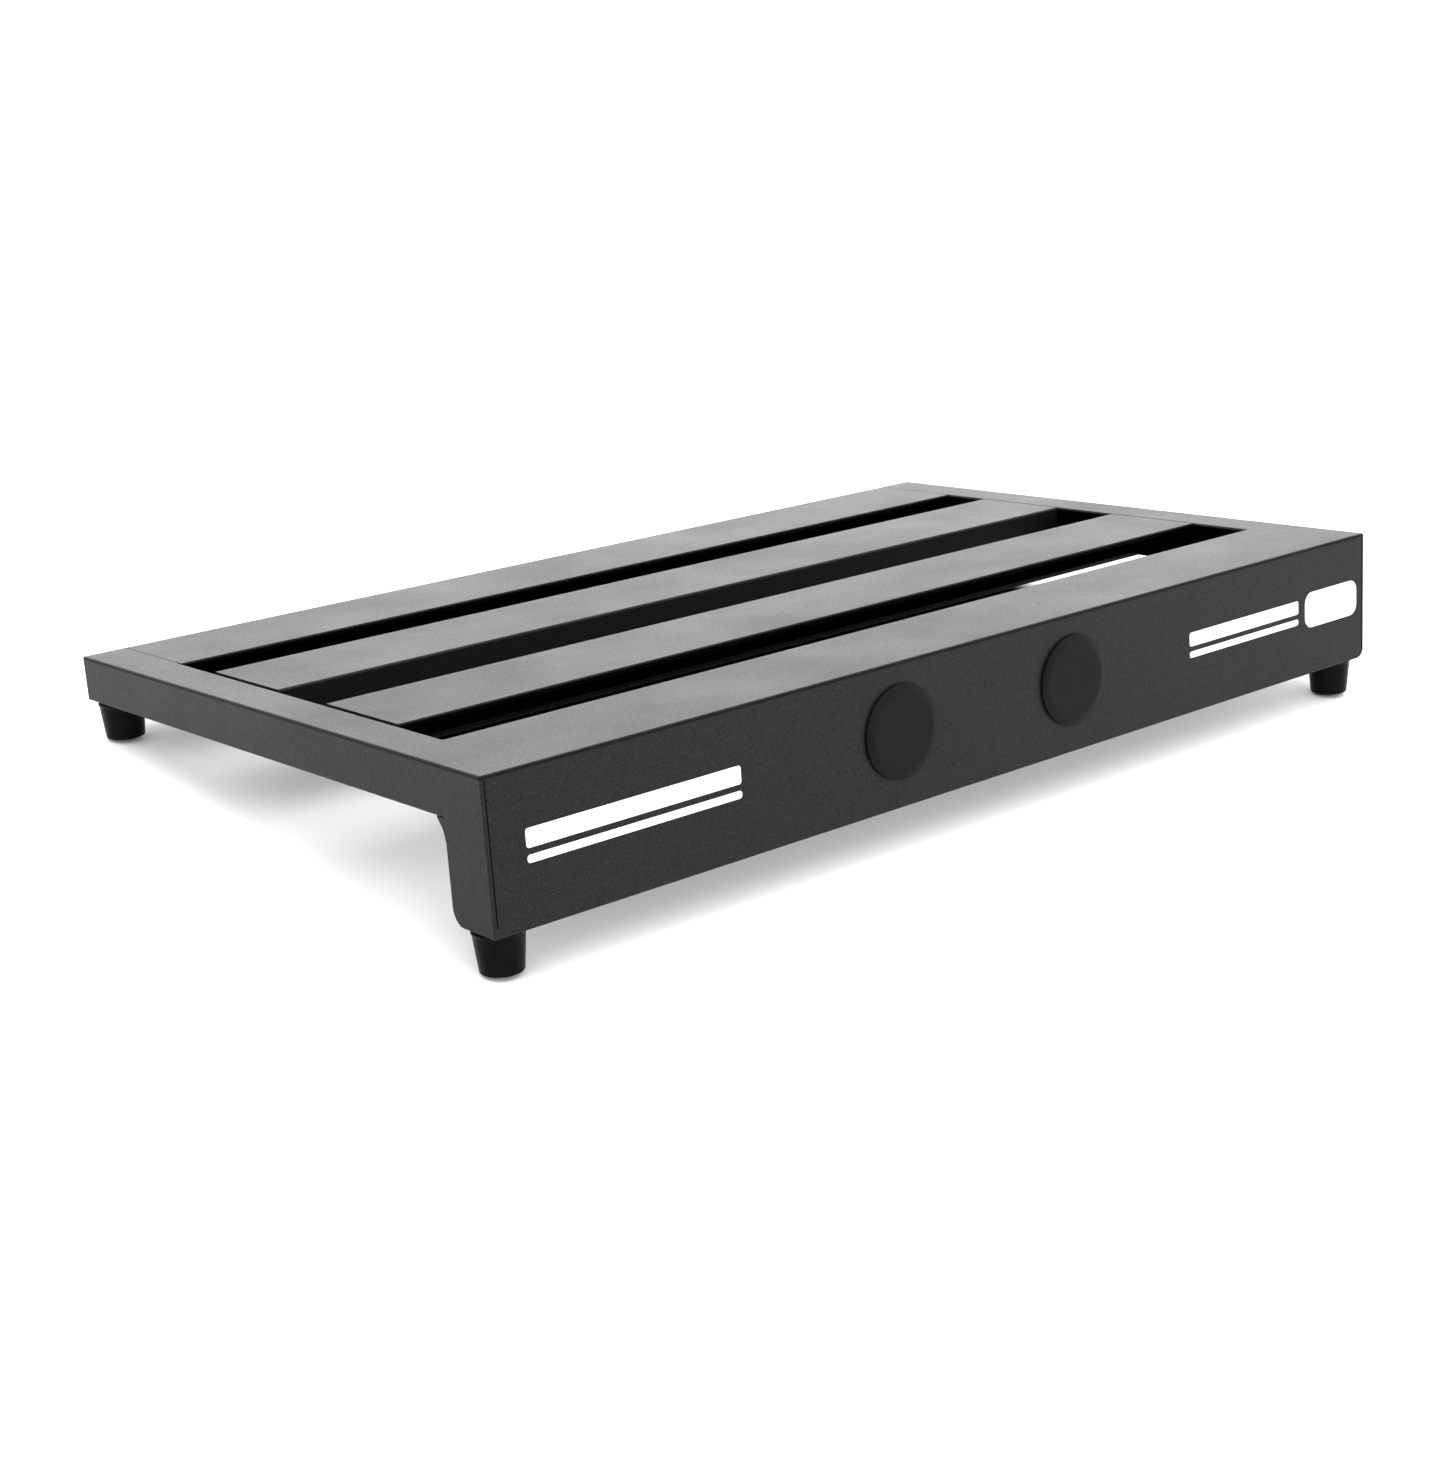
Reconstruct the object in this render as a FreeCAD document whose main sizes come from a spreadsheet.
import FreeCAD, Part
import math
import os
import Sketcher

# Pedalboard: a welded frame of sheet and square tube that carries effects pedals on four slats.
# Every sub-part is drawn in the board's own frame (X across, Y from front to rear, Z normal to
# the slats, Z = 0 on their top faces) and then stood on its feet by its Placement.

os.makedirs("parts", exist_ok=True)
doc = FreeCAD.newDocument("pedalboard")

# ---------------------------------------------------------------- driving dimensions (mm)

DIMENSIONS = {
    "board_width": 500.0,
    "board_depth": 304.0,
    "sheet_thick": 2.0,
    "edge_round": 0.9,
    "bend_round": 1.0,
    "free_edge_round": 0.5,
    "cap_front_round": 0.8,
    "rail_width": 20.0,
    "rail_height": 19.5,
    "slat_depth": 52.0,
    "slat_seam": 1.1,
    "front_slat_seam": 0.3,
    "slat_return": 17.0,
    "middle_slat_shift": 0.7,
    "middle_front_y": 79.0,
    "middle_rear_y": 167.2,
    "beam_depth": 25.0,
    "beam_height": 59.3,
    "beam_heel_round": 7.0,
    "beam_heel_bevel": 3.0,
    "ground_corner_round": 6.0,
    "end_plate_thick": 1.3,
    "end_plate_rim_round": 0.8,
    "crease_width": 0.6,
    "crease_depth": 0.6,
    "crease_top": 1.6,
    "crease_foot": 4.0,
    "cable_hole_radius": 18.2,
    "cable_hole_drop": 28.1,
    "cable_hole_x": 49.85,
    "cable_hole_shift": 3.05,
    "plug_cap_radius": 19.35,
    "plug_cap_thick": 1.6,
    "plug_cap_bevel": 3.0,
    "plug_cap_dome": 8.0,
    "plug_rim_height": 0.9,
    "plug_rim_round": 0.3,
    "plug_cap_gap": 0.3,
    "plug_skirt_radius": 17.9,
    "plug_skirt_wall": 1.3,
    "plug_skirt_length": 9.0,
    "plug_skirt_lead": 0.8,
    "plug_slit_width": 3.0,
    "foot_inset": 10.0,
    "front_foot_y": 11.4,
    "rear_foot_y": 291.5,
    "foot_top_radius": 9.65,
    "foot_base_radius": 8.2,
    "foot_height": 15.8,
    "foot_collar": 0.35,
    "foot_collar_height": 1.3,
    "foot_base_round": 0.8,
    "foot_top_round": 0.3,
    "foot_recess_radius": 5.3,
    "foot_recess_depth": 10.0,
    "foot_hole_radius": 2.75,
    "washer_radius": 5.1,
    "washer_thick": 1.2,
    "screw_radius": 2.45,
    "screw_head_radius": 4.4,
    "screw_head_height": 2.8,
    "screw_reach": 9.0,
    "socket_radius": 1.7,
    "insert_flange_radius": 6.0,
    "insert_flange_thick": 0.7,
    "insert_body_radius": 3.5,
    "insert_length": 9.5,
    "insert_bore_radius": 2.5,
    "insert_hole_radius": 3.55,
    "leg_weld_reach": 4.7,
    "leg_weld_drop": 9.0,
    "flange_weld": 2.6,
    "flange_weld_length": 4.0,
    "front_fill_drop": 0.1,
    "rear_fill_drop": 0.02,
}

sheet = doc.addObject("Spreadsheet::Sheet", "Params")
for row, (alias, value) in enumerate(DIMENSIONS.items(), start=1):
    sheet.set("A%d" % row, alias)
    sheet.set("B%d" % row, str(value))
    sheet.setAlias("B%d" % row, alias)
doc.recompute()


class Dim:
    """A length with its value in millimetres and the expression that keeps it bound."""

    def __init__(self, value, text):
        self.value = value
        self.text = text

    def __add__(self, other):
        other = as_dim(other)
        return Dim(self.value + other.value, "(%s + %s)" % (self.text, other.text))

    def __sub__(self, other):
        other = as_dim(other)
        return Dim(self.value - other.value, "(%s - %s)" % (self.text, other.text))

    def __mul__(self, factor):
        return Dim(self.value * factor, "(%s * %s)" % (self.text, factor))

    def __neg__(self):
        return Dim(-self.value, "(-1 * %s)" % self.text)


def as_dim(value):
    """A plain number becomes a dimension with a constant expression."""
    if isinstance(value, Dim):
        return value
    return Dim(float(value), "(%s)" % float(value))


def param(alias):
    """The driving dimension with this alias."""
    return Dim(DIMENSIONS[alias], "Params.%s" % alias)


WIDTH = param("board_width")
DEPTH = param("board_depth")
SHEET = param("sheet_thick")
RAIL_W = param("rail_width")
RAIL_H = param("rail_height")
SLAT = param("slat_depth")
SEAM = param("slat_seam")
FRONT_SEAM = param("front_slat_seam")
END_PLATE = param("end_plate_thick")
END_RIM = param("end_plate_rim_round")
EDGE_ROUND = param("edge_round")
FREE_ROUND = param("free_edge_round")
BEAM_D = param("beam_depth")
BEAM_H = param("beam_height")
HALF = WIDTH * 0.5
FOOT_X = HALF - param("foot_inset")
INSERT_FLANGE = param("insert_flange_thick")

# ---------------------------------------------------------------- how the board stands

SUBPARTS = []

# Any angle but zero keeps the rotation's X axis until the expression below sets the angle.
START_ANGLE = 10.0

# The feet are square to the frame, so the board leans on their front edges. The lean follows
# from the difference in height between the beam and the rails over the distance of the feet.
TILT = ("atan((Params.beam_height - Params.rail_height)"
        " / (Params.rear_foot_y - Params.front_foot_y))")
FOOT_DROP = RAIL_H + INSERT_FLANGE + param("foot_height")
FOOT_EDGE = param("front_foot_y") - param("foot_base_radius")
REAR_REACH = "(%s * cos(%s) + %s * sin(%s) + Params.edge_round)" % (
    (DEPTH - EDGE_ROUND).text, TILT, (BEAM_H - EDGE_ROUND).text, TILT)
FRONT_REACH = "(Params.cap_front_round * (cos(%s) + sin(%s) - 1))" % (TILT, TILT)
SHIFT_Y = "(-0.5 * (%s + %s))" % (REAR_REACH, FRONT_REACH)
SHIFT_Z = "(%s * cos(%s) - %s * sin(%s))" % (FOOT_DROP.text, TILT, FOOT_EDGE.text, TILT)


def stand(obj, x=0.0, y=0.0, z=0.0, turn=0.0):
    """Place a sub-part at (x, y, z) in the board's frame, on the standing board."""
    x, y, z = as_dim(x), as_dim(y), as_dim(z)
    obj.Placement = FreeCAD.Placement(FreeCAD.Vector(0, 0, 0),
                                      FreeCAD.Rotation(FreeCAD.Vector(1, 0, 0),
                                                       START_ANGLE))
    obj.setExpression("Placement.Base.x", x.text)
    obj.setExpression("Placement.Base.y", "%s * cos(%s) - %s * sin(%s) + %s" % (
        y.text, TILT, z.text, TILT, SHIFT_Y))
    obj.setExpression("Placement.Base.z", "%s * sin(%s) + %s * cos(%s) + %s" % (
        y.text, TILT, z.text, TILT, SHIFT_Z))
    obj.setExpression("Placement.Rotation.Angle", "%s + (%s) * 1 deg" % (TILT, turn))
    SUBPARTS.append(obj)


# ---------------------------------------------------------------- sketch and feature helpers


def new_body(name):
    """An empty PartDesign body named after its sub-part."""
    body = doc.addObject("PartDesign::Body", name)
    body.Label = name
    return body


def origin_plane(body, role):
    """The body's own origin plane with this role."""
    for feature in body.Origin.OriginFeatures:
        if feature.Role == role:
            return feature
    raise ValueError("no origin feature %s" % role)


def new_sketch(body, name, plane, offset=0.0):
    """A sketch on an origin plane, moved along the plane's normal by offset."""
    sketch = body.newObject("Sketcher::SketchObject", body.Name + "_" + name)
    sketch.AttachmentSupport = [(origin_plane(body, plane), "")]
    sketch.MapMode = "FlatFace"
    offset = as_dim(offset)
    if offset.value:
        sketch.AttachmentOffset = FreeCAD.Placement(FreeCAD.Vector(0, 0, offset.value),
                                                    FreeCAD.Rotation())
        sketch.setExpression("AttachmentOffset.Base.z", offset.text)
    return sketch


def fix_point(sketch, geometry, position, u, v):
    """Bind one point of a sketch to its two coordinates."""
    for kind, axis, dim in (("DistanceX", -2, u), ("DistanceY", -1, v)):
        if dim.value == 0.0:
            sketch.addConstraint(Sketcher.Constraint("PointOnObject", geometry, position, axis))
        else:
            index = sketch.addConstraint(
                Sketcher.Constraint(kind, -1, 1, geometry, position, dim.value))
            sketch.setExpression("Constraints[%d]" % index, dim.text)


def draw_polygon(sketch, points):
    """Draw a closed outline through points given as pairs of dimensions."""
    points = [(as_dim(u), as_dim(v)) for u, v in points]
    count = len(points)
    first = sketch.GeometryCount
    for i in range(count):
        start, end = points[i], points[(i + 1) % count]
        sketch.addGeometry(Part.LineSegment(FreeCAD.Vector(start[0].value, start[1].value, 0),
                                            FreeCAD.Vector(end[0].value, end[1].value, 0)), False)
    for i in range(count):
        here, after = first + i, first + (i + 1) % count
        sketch.addConstraint(Sketcher.Constraint("Coincident", here, 2, after, 1))
    for i, (u, v) in enumerate(points):
        fix_point(sketch, first + i, 1, u, v)


def rectangle(u0, v0, u1, v1):
    """The four corners of a rectangle."""
    return [(u0, v0), (u1, v0), (u1, v1), (u0, v1)]


def draw_circle(sketch, u, v, radius):
    """Draw a circle with bound centre and radius."""
    u, v, radius = as_dim(u), as_dim(v), as_dim(radius)
    index = sketch.addGeometry(Part.Circle(FreeCAD.Vector(u.value, v.value, 0),
                                           FreeCAD.Vector(0, 0, 1), radius.value), False)
    fix_point(sketch, index, 3, u, v)
    constraint = sketch.addConstraint(Sketcher.Constraint("Radius", index, radius.value))
    sketch.setExpression("Constraints[%d]" % constraint, radius.text)


def draw_corner_waste(sketch, u, v, radius):
    """Draw what comes off a part to round its corner at (u, v), its lowest in both directions."""
    points = [
        (u + radius, v),
        (u + radius, v - SHEET),
        (u - SHEET, v - SHEET),
        (u - SHEET, v + radius),
        (u, v + radius)]
    first = sketch.GeometryCount
    for start, end in zip(points, points[1:]):
        sketch.addGeometry(Part.LineSegment(FreeCAD.Vector(start[0].value, start[1].value, 0),
                                            FreeCAD.Vector(end[0].value, end[1].value, 0)), False)
    last = sketch.GeometryCount - 1
    centre = FreeCAD.Vector(u.value + radius.value, v.value + radius.value, 0)
    circle = Part.Circle(centre, FreeCAD.Vector(0, 0, 1), radius.value)
    arc = sketch.addGeometry(Part.ArcOfCircle(circle, math.pi, math.pi * 1.5), False)
    for line in range(first, last):
        sketch.addConstraint(Sketcher.Constraint("Coincident", line, 2, line + 1, 1))
    sketch.addConstraint(Sketcher.Constraint("Coincident", last, 2, arc, 1))
    sketch.addConstraint(Sketcher.Constraint("Coincident", arc, 2, first, 1))
    for line, point in zip(range(first, last + 1), points):
        fix_point(sketch, line, 1, *point)
    fix_point(sketch, last, 2, *points[-1])
    index = sketch.addConstraint(Sketcher.Constraint("Radius", arc, radius.value))
    sketch.setExpression("Constraints[%d]" % index, radius.text)


def pad(body, name, sketch, length, symmetric=False, reverse=False):
    """Extrude a sketch by a bound length."""
    length = as_dim(length)
    feature = body.newObject("PartDesign::Pad", body.Name + "_" + name)
    feature.Profile = sketch
    feature.Length = length.value
    feature.setExpression("Length", length.text)
    feature.Reversed = reverse
    if symmetric:
        feature.SideType = "Symmetric"
    sketch.Visibility = False
    return feature


def pocket(body, name, sketch, length=None, symmetric=False, reverse=False):
    """Cut a sketch out of the body, through everything where no length is given."""
    feature = body.newObject("PartDesign::Pocket", body.Name + "_" + name)
    feature.Profile = sketch
    feature.Reversed = reverse
    if length is None:
        feature.Type = "ThroughAll"
    else:
        length = as_dim(length)
        feature.Length = length.value
        feature.setExpression("Length", length.text)
    if symmetric:
        feature.SideType = "Symmetric"
    sketch.Visibility = False
    return feature


def revolve(body, name, points):
    """Turn a closed outline of (radius, height) points about the body's Z axis."""
    sketch = new_sketch(body, name + "_profile", "XZ_Plane")
    draw_polygon(sketch, points)
    feature = body.newObject("PartDesign::Revolution", body.Name + "_" + name)
    feature.Profile = sketch
    feature.ReferenceAxis = (sketch, ["V_Axis"])
    feature.Angle = 360.0
    sketch.Visibility = False
    return feature


# How far a coordinate may be from a dimension and still count as equal to it.
TOLERANCE = 0.01


def near(value, dim):
    """Whether a coordinate equals a dimension."""
    return abs(value - as_dim(dim).value) < TOLERANCE


def edges_where(feature, test):
    """Names of the straight edges whose two ends both pass the test."""
    doc.recompute()
    names = []
    for index, edge in enumerate(feature.Shape.Edges, start=1):
        if isinstance(edge.Curve, Part.Line) and all(test(v.Point) for v in edge.Vertexes):
            names.append("Edge%d" % index)
    return names


def rims_where(feature, test):
    """Names of the full circles whose centre and radius pass the test."""
    doc.recompute()
    names = []
    for index, edge in enumerate(feature.Shape.Edges, start=1):
        if isinstance(edge.Curve, Part.Circle) and edge.isClosed():
            if test(edge.Curve.Center, edge.Curve.Radius):
                names.append("Edge%d" % index)
    return names


def fillet(body, name, base, edges, radius):
    """Round the named edges by a bound radius."""
    radius = as_dim(radius)
    feature = body.newObject("PartDesign::Fillet", body.Name + "_" + name)
    feature.Base = (base, edges)
    feature.Radius = radius.value
    feature.setExpression("Radius", radius.text)
    return feature


def of_length(feature, names, test):
    """Those of the named edges whose length passes the test."""
    return [name for name in names if test(feature.Shape.getElement(name).Length)]


# ---------------------------------------------------------------- side rails

RAIL_END = DEPTH - BEAM_D
RAIL_MID = HALF - RAIL_W * 0.5
HOLE_DEPTH = SHEET * 1.5


def make_rail(name, side):
    """A square tube from behind its end cap to the rear beam, open inside."""
    body = new_body(name)
    outer = new_sketch(body, "outer", "XZ_Plane", -SHEET)
    draw_polygon(outer, rectangle(-RAIL_W * 0.5, -RAIL_H, RAIL_W * 0.5, 0))
    tube = pad(body, "tube", outer, RAIL_END - SHEET, reverse=True)
    corners = edges_where(tube, lambda p: near(p.z, 0) or near(p.z, -RAIL_H))
    long_edges = of_length(tube, corners, lambda length: near(length, RAIL_END - SHEET))
    fillet(body, "long_edges", tube, long_edges, EDGE_ROUND)
    inner = new_sketch(body, "inner", "XZ_Plane", -SHEET)
    draw_polygon(inner, rectangle(-RAIL_W * 0.5 + SHEET, -RAIL_H + SHEET,
                                  RAIL_W * 0.5 - SHEET, -SHEET))
    pocket(body, "hollow", inner, RAIL_END)
    hole = new_sketch(body, "insert_hole", "XY_Plane", -RAIL_H)
    draw_circle(hole, (HALF - RAIL_W * 0.5 - FOOT_X) * -side, param("front_foot_y"),
                param("insert_hole_radius"))
    pocket(body, "insert_bore", hole, HOLE_DEPTH, reverse=True)
    stand(body, RAIL_MID * side)


make_rail("side_rail_left", -1)
make_rail("side_rail_right", 1)


def make_rail_cap(name, side):
    """The small plate that closes the front end of a rail, ground round except at the slat."""
    body = new_body(name)
    outline = new_sketch(body, "outline", "XZ_Plane")
    draw_polygon(outline, rectangle(-RAIL_W * 0.5, -RAIL_H, RAIL_W * 0.5, 0))
    plate = pad(body, "plate", outline, SHEET, reverse=True)
    corners = edges_where(plate, lambda p: near(p.z, -RAIL_H)
                          or (near(p.z, 0) and near(p.x, RAIL_W * 0.5 * side)))
    corners = of_length(plate, corners, lambda length: near(length, SHEET))
    rounded = fillet(body, "corners", plate, corners, EDGE_ROUND)
    front = edges_where(rounded, lambda p: near(p.y, 0) and near(p.z, 0))
    fillet(body, "front_edge", rounded, front, param("cap_front_round"))
    stand(body, RAIL_MID * side)


make_rail_cap("rail_end_cap_left", -1)
make_rail_cap("rail_end_cap_right", 1)

# ---------------------------------------------------------------- rear beam

PLATE_LENGTH = WIDTH - RAIL_W * 2.0


def grind_corner(body, shift):
    """Round the beam's lower left corner, seen from the rear, where its weld was ground off.

    shift is the X of the body's origin in the board's frame.
    """
    sketch = new_sketch(body, "ground_corner", "XZ_Plane")
    draw_corner_waste(sketch, -HALF - shift, -BEAM_H, param("ground_corner_round"))
    pocket(body, "ground_cut", sketch)


def cut_creases(body):
    """The unfilled seam down each end of the rear wall, where the end plates are welded on."""
    sketch = new_sketch(body, "crease_outlines", "XY_Plane", -param("crease_top"))
    width, depth = param("crease_width"), param("crease_depth")
    beam_end = HALF - END_PLATE
    for side in (-1, 1):
        draw_polygon(sketch, rectangle((beam_end - width) * side, DEPTH - depth,
                                       (beam_end + width) * side, DEPTH + depth))
    pocket(body, "creases", sketch, BEAM_H - param("crease_top") - param("crease_foot"))


def cable_hole_x(side):
    """Where a cable hole and its plug sit across the board; the pair is a little off centre."""
    return param("cable_hole_x") * side + param("cable_hole_shift")


def make_rear_beam():
    """A box beam whose top carries on forwards as the rear slat."""
    body = new_body("rear_beam")
    box_sketch = new_sketch(body, "box_outline", "YZ_Plane")
    draw_polygon(box_sketch, rectangle(RAIL_END, -BEAM_H, DEPTH, 0))
    pad(body, "box", box_sketch, WIDTH - END_PLATE * 2.0, symmetric=True)
    plate_sketch = new_sketch(body, "plate_outline", "YZ_Plane")
    draw_polygon(plate_sketch, rectangle(DEPTH - SLAT, -SHEET, RAIL_END + SHEET, 0))
    plate = pad(body, "plate", plate_sketch, PLATE_LENGTH, symmetric=True)
    top_rear = edges_where(plate, lambda p: near(p.y, DEPTH) and near(p.z, 0))
    low_rear = edges_where(plate, lambda p: near(p.y, DEPTH) and near(p.z, -BEAM_H))
    rear_round = fillet(body, "rear_edges", plate, top_rear + low_rear, EDGE_ROUND)
    heel = edges_where(rear_round, lambda p: near(p.y, RAIL_END) and near(p.z, -BEAM_H))
    heel_round = fillet(body, "heel", rear_round, heel, param("beam_heel_round"))
    free_edge = edges_where(heel_round, lambda p: near(p.y, DEPTH - SLAT)
                            and (near(p.z, 0) or near(p.z, -SHEET)))
    free_edge = of_length(heel_round, free_edge, lambda length: length > SLAT.value)
    fillet(body, "free_edge", heel_round, free_edge, FREE_ROUND)
    inner = new_sketch(body, "inner", "YZ_Plane")
    draw_polygon(inner, [
        (RAIL_END + SHEET, -SHEET),
        (DEPTH - SHEET, -SHEET),
        (DEPTH - SHEET, -BEAM_H + SHEET),
        (RAIL_END + SHEET + param("beam_heel_bevel"), -BEAM_H + SHEET),
        (RAIL_END + SHEET, -BEAM_H + SHEET + param("beam_heel_bevel"))])
    pocket(body, "hollow", inner, symmetric=True)
    cables = new_sketch(body, "cable_holes", "XZ_Plane")
    for side in (-1, 1):
        draw_circle(cables, cable_hole_x(side), -param("cable_hole_drop"),
                    param("cable_hole_radius"))
    pocket(body, "cable_bores", cables)
    inserts = new_sketch(body, "insert_holes", "XY_Plane", -BEAM_H)
    for side in (-1, 1):
        draw_circle(inserts, FOOT_X * side, param("rear_foot_y"), param("insert_hole_radius"))
    pocket(body, "insert_bores", inserts, HOLE_DEPTH, reverse=True)
    grind_corner(body, as_dim(0.0))
    cut_creases(body)
    stand(body)


make_rear_beam()


def make_beam_end_plate(name, side):
    """The plate that closes one end of the rear beam, flush with its outline and the rail."""
    body = new_body(name)
    outline = new_sketch(body, "outline", "YZ_Plane")
    draw_polygon(outline, rectangle(RAIL_END, -BEAM_H, DEPTH, 0))
    plate = pad(body, "plate", outline, END_PLATE, reverse=side < 0)
    rear = edges_where(plate, lambda p: near(p.y, DEPTH) and near(p.z, 0))
    rear += edges_where(plate, lambda p: near(p.y, DEPTH) and near(p.z, -BEAM_H))
    rear_round = fillet(body, "rear_edges", plate, rear, EDGE_ROUND)
    rim = edges_where(rear_round, lambda p: near(p.x, END_PLATE * side) and near(p.z, 0))
    fillet(body, "outer_rim", rear_round, rim, END_RIM)
    heel = new_sketch(body, "heel_outline", "YZ_Plane")
    draw_corner_waste(heel, RAIL_END, -BEAM_H, param("beam_heel_round"))
    pocket(body, "heel_cut", heel, symmetric=True)
    if side < 0:
        grind_corner(body, -HALF + END_PLATE)
    stand(body, (HALF - END_PLATE) * side)


make_beam_end_plate("beam_end_plate_left", -1)
make_beam_end_plate("beam_end_plate_right", 1)

# ---------------------------------------------------------------- slats


def make_slat(name, front_y, seam, flange_at_rear, shift=0.0):
    """A folded plate: a flat top, one flange as deep as the rails, and a return under the top.

    seam is how far it stops short of each rail, and shift moves it across.
    """
    body = new_body(name)
    front, rear = as_dim(0.0), SLAT
    reach = param("slat_return")
    fold = rear if flange_at_rear else front
    inner_fold = rear - SHEET if flange_at_rear else front + SHEET
    lip = rear - reach if flange_at_rear else front + reach
    free = front if flange_at_rear else rear
    outline = new_sketch(body, "outline", "YZ_Plane")
    draw_polygon(outline, [
        (free, 0),
        (fold, 0),
        (fold, -RAIL_H),
        (lip, -RAIL_H),
        (lip, -RAIL_H + SHEET),
        (inner_fold, -RAIL_H + SHEET),
        (inner_fold, -SHEET),
        (free, -SHEET)])
    plate = pad(body, "plate", outline, PLATE_LENGTH - seam * 2.0, symmetric=True)
    bend = edges_where(plate, lambda p: near(p.y, fold) and near(p.z, 0))
    bent = fillet(body, "bend", plate, bend, param("bend_round"))
    throat = edges_where(bent, lambda p: near(p.y, inner_fold) and near(p.z, -SHEET))
    eased = fillet(body, "throat", bent, throat, FREE_ROUND)
    free_edge = edges_where(eased, lambda p: near(p.y, free) and p.z > -SHEET.value - TOLERANCE)
    free_edge = of_length(eased, free_edge, lambda length: length > SLAT.value)
    softened = fillet(body, "free_edge", eased, free_edge, FREE_ROUND)
    low = edges_where(softened, lambda p: near(p.z, -RAIL_H) and (near(p.y, fold) or near(p.y, lip)))
    low = of_length(softened, low, lambda length: length > SLAT.value)
    fillet(body, "low_edges", softened, low, FREE_ROUND)
    stand(body, shift, front_y)


MIDDLE_SHIFT = -param("middle_slat_shift")
make_slat("front_slat", 0, FRONT_SEAM, False)
make_slat("middle_slat_front", param("middle_front_y"), SEAM, True, shift=MIDDLE_SHIFT)
make_slat("middle_slat_rear", param("middle_rear_y"), SEAM, False, shift=MIDDLE_SHIFT)

# ---------------------------------------------------------------- feet and their fixings

FOOT_PLACES = {
    "front_left": (-FOOT_X, param("front_foot_y"), -RAIL_H),
    "front_right": (FOOT_X, param("front_foot_y"), -RAIL_H),
    "rear_left": (-FOOT_X, param("rear_foot_y"), -BEAM_H),
    "rear_right": (FOOT_X, param("rear_foot_y"), -BEAM_H),
}
FOOT_H = param("foot_height")
RECESS = param("foot_recess_depth")

# How far down the collar of a foot keeps its full width, as a share of the collar.
COLLAR_STRAIGHT = 0.5

# Shares of the screw head: the rise and width of its taper, and the depth of its socket.
HEAD_TAPER_RISE = 0.35
HEAD_TAPER = 0.8
SOCKET_DEPTH = 0.6


def make_foot(place, x, y, z):
    """A tapered rubber foot with a low collar at its top and a recess for its screw."""
    body = new_body("foot_" + place)
    collar = param("foot_top_radius") + param("foot_collar")
    collar_low = -param("foot_collar_height")
    cone = revolve(body, "cone", [
        (param("foot_hole_radius"), 0),
        (collar, 0),
        (collar, collar_low * COLLAR_STRAIGHT),
        (param("foot_top_radius"), collar_low),
        (param("foot_base_radius"), -FOOT_H),
        (param("foot_recess_radius"), -FOOT_H),
        (param("foot_recess_radius"), -FOOT_H + RECESS),
        (param("foot_hole_radius"), -FOOT_H + RECESS)])
    base_rim = rims_where(cone, lambda c, r: near(c.z, -FOOT_H)
                          and near(r, param("foot_base_radius")))
    soft = fillet(body, "base_rim", cone, base_rim, param("foot_base_round"))
    top_rim = rims_where(soft, lambda c, r: near(c.z, 0) and near(r, collar))
    fillet(body, "top_rim", soft, top_rim, param("foot_top_round"))
    stand(body, x, y, z - INSERT_FLANGE)


def make_washer(place, x, y, z):
    """The steel washer at the bottom of the foot's recess."""
    body = new_body("foot_washer_" + place)
    top = RECESS - FOOT_H
    revolve(body, "disc", [
        (param("foot_hole_radius"), top),
        (param("washer_radius"), top),
        (param("washer_radius"), top - param("washer_thick")),
        (param("foot_hole_radius"), top - param("washer_thick"))])
    stand(body, x, y, z - INSERT_FLANGE)


def make_screw(place, x, y, z):
    """The screw that holds a foot, with a hexagon socket in its tapered head."""
    body = new_body("foot_screw_" + place)
    head, head_height = param("screw_head_radius"), param("screw_head_height")
    seat = RECESS - FOOT_H - param("washer_thick")
    crown = seat - head_height
    revolve(body, "turned", [
        (0, param("screw_reach")),
        (param("screw_radius"), param("screw_reach")),
        (param("screw_radius"), seat),
        (head, seat),
        (head, crown + head_height * HEAD_TAPER_RISE),
        (head * HEAD_TAPER, crown),
        (0, crown)])
    socket = new_sketch(body, "socket", "XY_Plane", crown)
    size = param("socket_radius")
    draw_polygon(socket, [(size * math.cos(math.radians(angle)), size * math.sin(math.radians(angle)))
                          for angle in range(0, 360, 60)])
    pocket(body, "socket_cut", socket, head_height * SOCKET_DEPTH, reverse=True)
    stand(body, x, y, z - INSERT_FLANGE)


def make_insert(place, x, y, z):
    """A threaded insert: flange outside the wall, sleeve inside; its flange spaces the foot."""
    body = new_body("insert_" + place)
    revolve(body, "sleeve", [
        (param("insert_bore_radius"), 0),
        (param("insert_flange_radius"), 0),
        (param("insert_flange_radius"), INSERT_FLANGE),
        (param("insert_body_radius"), INSERT_FLANGE),
        (param("insert_body_radius"), INSERT_FLANGE + param("insert_length")),
        (param("insert_bore_radius"), INSERT_FLANGE + param("insert_length"))])
    stand(body, x, y, z - INSERT_FLANGE)


for foot_place, (foot_x, foot_y, foot_z) in FOOT_PLACES.items():
    make_foot(foot_place, foot_x, foot_y, foot_z)
    make_washer(foot_place, foot_x, foot_y, foot_z)
    make_screw(foot_place, foot_x, foot_y, foot_z)
    make_insert(foot_place, foot_x, foot_y, foot_z)

# ---------------------------------------------------------------- cable hole plugs

# How far the tip of a plug's skirt leans in, as a share of the height of its lead-in.
LEAD_SLOPE = 0.5
# How far short of the beam's outer face the slits in the skirt stop.
SLIT_STOP = SHEET * 0.5

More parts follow.
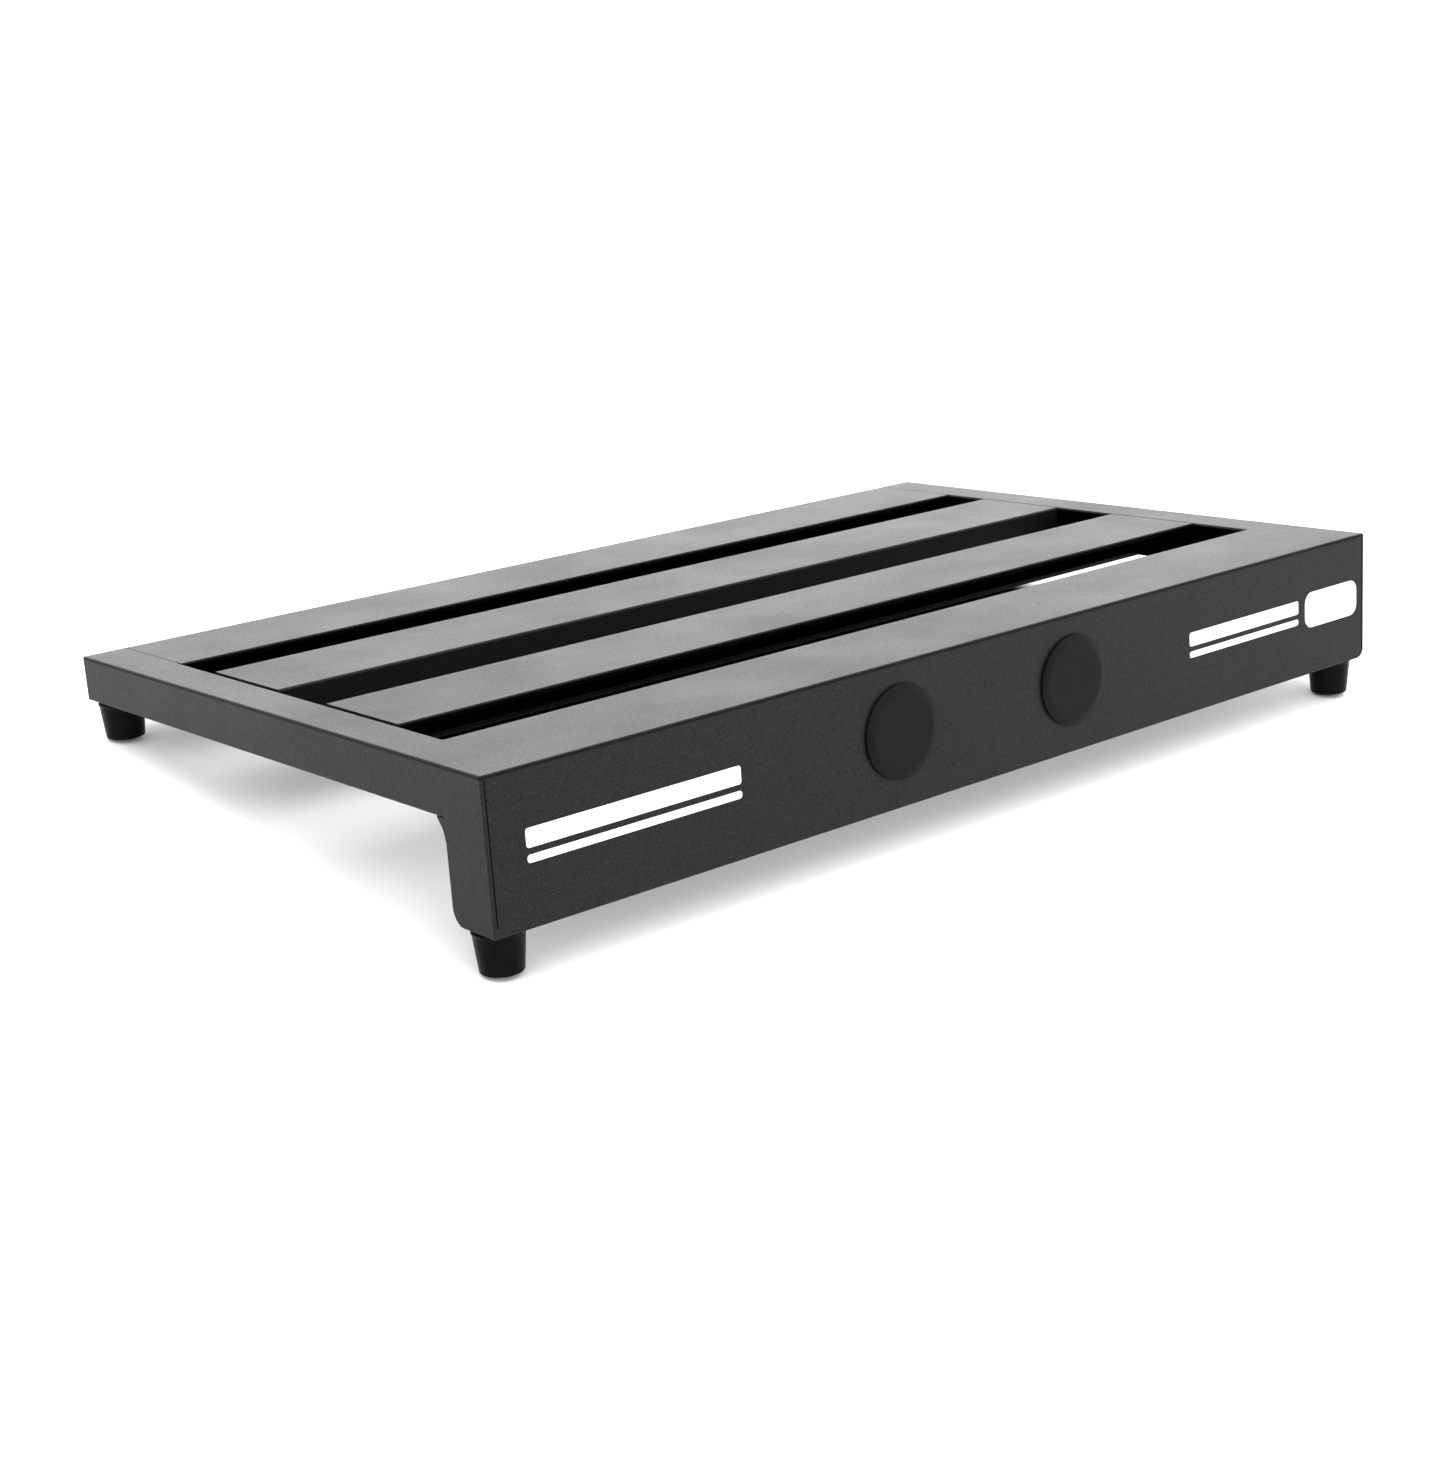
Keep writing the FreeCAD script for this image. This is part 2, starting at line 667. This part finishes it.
def make_plug(name, side):
    """A moulded plug: a low domed cap outside and a slotted skirt that passes through the wall."""
    body = new_body(name)
    gap = param("plug_cap_gap")
    cap = param("plug_cap_radius")
    flat = cap - param("plug_cap_bevel")
    skirt = param("plug_skirt_radius")
    bore = skirt - param("plug_skirt_wall")
    low = -param("plug_skirt_length")
    lead = param("plug_skirt_lead")
    top = gap + param("plug_cap_thick")
    rim_top = gap + param("plug_rim_height")
    moulding = revolve(body, "moulding", [
        (0, top),
        (flat, top),
        (cap, rim_top),
        (cap, gap),
        (skirt, gap),
        (skirt, low + lead),
        (skirt - lead * LEAD_SLOPE, low),
        (bore, low),
        (bore, gap),
        (0, gap)])
    crown = rims_where(moulding, lambda c, r: near(c.z, top) and near(r, flat))
    domed = fillet(body, "dome", moulding, crown, param("plug_cap_dome"))
    rim = rims_where(domed, lambda c, r: near(c.z, rim_top) and near(r, cap))
    fillet(body, "rim", domed, rim, param("plug_rim_round"))
    half_slit = param("plug_slit_width") * 0.5
    slots = {
        "slits": rectangle(-cap, -half_slit, cap, half_slit),
        "cross_slits": rectangle(-half_slit, -cap, half_slit, cap),
    }
    for slot_name, corners in slots.items():
        sketch = new_sketch(body, slot_name, "XY_Plane", low)
        draw_polygon(sketch, corners)
        pocket(body, slot_name + "_cut", sketch, -low - SLIT_STOP, reverse=True)
    stand(body, cable_hole_x(side), DEPTH, -param("cable_hole_drop"), turn=-90.0)


make_plug("cable_plug_left", -1)
make_plug("cable_plug_right", 1)

# ---------------------------------------------------------------- weld beads and filler

# Where the hollow face of a leg bead sags to, as shares of its reach and its drop.
LEG_SAG_REACH = 0.27
LEG_SAG_DROP = 0.5
# The crown of a tack bead, and its shoulder, as shares of its size.
TACK_CROWN = 2.0
TACK_SHOULDER = 0.8

def make_bead(name, x, y, z, width, outline):
    """One bead: an outline in the Y-Z plane, drawn out along X about x, as its own body."""
    body = new_body(name)
    sketch = new_sketch(body, "outline", "YZ_Plane", x - width * 0.5)
    draw_polygon(sketch, [(y + u, z + v) for u, v in outline])
    pad(body, "bead", sketch, width)
    return body


def make_filler(name, side, seam, front_y, length, drop):
    """Weld metal ground level between a rail's rounded edge and the end of a plate beside it."""
    body = new_body(name)
    edge_x = HALF - RAIL_W
    low = EDGE_ROUND + seam
    outline = new_sketch(body, "outline", "XZ_Plane", -front_y)
    corners = [
        (edge_x - seam, -drop),
        (edge_x + EDGE_ROUND, -drop),
        (edge_x + EDGE_ROUND, -EDGE_ROUND)]
    if seam.value:
        corners += [(edge_x, -EDGE_ROUND), (edge_x, -low), (edge_x - seam, -low)]
    else:
        corners += [(edge_x, -EDGE_ROUND)]
    draw_polygon(outline, [(x * side, z) for x, z in corners])
    pad(body, "fill", outline, length, reverse=True)
    rail_edge = new_sketch(body, "rail_edge", "XZ_Plane", -front_y)
    draw_circle(rail_edge, (edge_x + EDGE_ROUND) * side, -EDGE_ROUND, EDGE_ROUND)
    pocket(body, "rail_edge_cut", rail_edge)
    return body


def make_welds():
    """Beads under the rails and the slats, and the ground filler beside the end slats."""
    beads = []
    reach, drop = param("leg_weld_reach"), param("leg_weld_drop")
    leg_bead = [(0, 0), (-reach, 0), (-reach * LEG_SAG_REACH, -drop * LEG_SAG_DROP), (0, -drop)]
    tack, tack_length = param("flange_weld"), param("flange_weld_length")
    tacks = {
        "front": (param("middle_front_y") + SLAT - SHEET, -tack),
        "rear": (param("middle_rear_y") + SHEET, tack),
    }
    for side, word in ((-1, "left"), (1, "right")):
        beads.append(make_bead("bead_leg_" + word, RAIL_MID * side, RAIL_END, -RAIL_H,
                               RAIL_W, leg_bead))
        beads.append(make_filler("fill_front_" + word, side, FRONT_SEAM, SHEET,
                                 SLAT - SHEET * 2.0, param("front_fill_drop")))
        beads.append(make_filler("fill_rear_" + word, side, as_dim(0.0), DEPTH - SLAT,
                                 SLAT - BEAM_D, param("rear_fill_drop")))
        tack_x = (HALF - RAIL_W - tack_length * 0.5) * side
        for place, (flange_y, spread) in tacks.items():
            beads.append(make_bead("bead_%s_%s" % (place, word), tack_x, flange_y, SHEET - RAIL_H,
                                   tack_length, [(0, tack * TACK_CROWN),
                                                 (spread, tack * TACK_SHOULDER),
                                                 (spread * TACK_SHOULDER, 0),
                                                 (0, 0)]))
    group = doc.addObject("Part::Compound", "weld_beads")
    group.Label = "weld_beads"
    group.Links = beads
    stand(group)


make_welds()

# ---------------------------------------------------------------- check and write

doc.recompute()
for obj in doc.Objects:
    if "Invalid" in obj.State or "Error" in obj.State:
        raise RuntimeError("%s is %s" % (obj.Name, obj.State))
for obj in SUBPARTS:
    if obj.Shape.isNull() or not obj.Shape.isValid():
        raise RuntimeError("%s has no valid shape" % obj.Label)
for obj in SUBPARTS:
    obj.Shape.exportStep("parts/%s.step" % obj.Label)
    box = obj.Shape.BoundBox
    print("%-24s solids %d volume %9.1f box %7.2f %7.2f %7.2f .. %7.2f %7.2f %7.2f" % (
        obj.Label, len(obj.Shape.Solids), obj.Shape.Volume,
        box.XMin, box.YMin, box.ZMin, box.XMax, box.YMax, box.ZMax))
